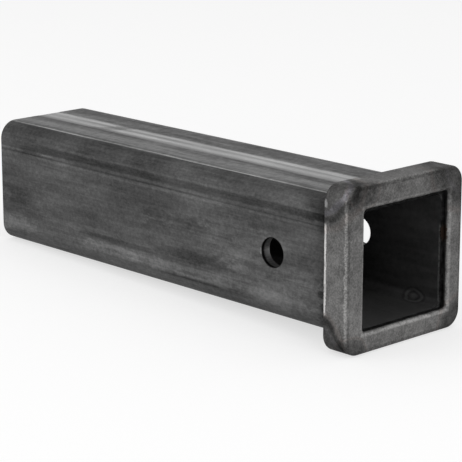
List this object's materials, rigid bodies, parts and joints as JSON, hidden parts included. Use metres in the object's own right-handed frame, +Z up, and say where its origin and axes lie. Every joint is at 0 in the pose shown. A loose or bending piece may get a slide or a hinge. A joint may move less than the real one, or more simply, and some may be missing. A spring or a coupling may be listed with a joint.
{
  "type": "receiver tube",
  "caption": "Weld-on square receiver tube in raw steel with a stiffening collar welded round its mouth and a hitch pin hole through both side walls.",
  "frame": {"origin": "where the axis of the hitch pin hole crosses the axis of the tube", "axes": "+X along the tube and out of its mouth, +Y along the hitch pin hole, +Z up, square to the side with the tube's planed seam"},
  "size_m": [0.3076, 0.0924, 0.0924],
  "materials": {
    "tube_steel": "raw, oiled mill scale: dark grey, streaked along the tube, with a paler planed seam",
    "collar_steel": "raw, fine-grained mid grey, worn bright on its edges, with heat tint at the corners",
    "ground_weld": "weld metal ground flush and greyed, with a slightly uneven rounded lip",
    "raw_weld": "rippled weld bead, as laid"
  },
  "bodies": {
    "root": {"receiver_tube": "tube_steel", "collar": "collar_steel", "mouth_weld": "ground_weld", "rear_weld": "raw_weld"}
  },
  "joints": []
}
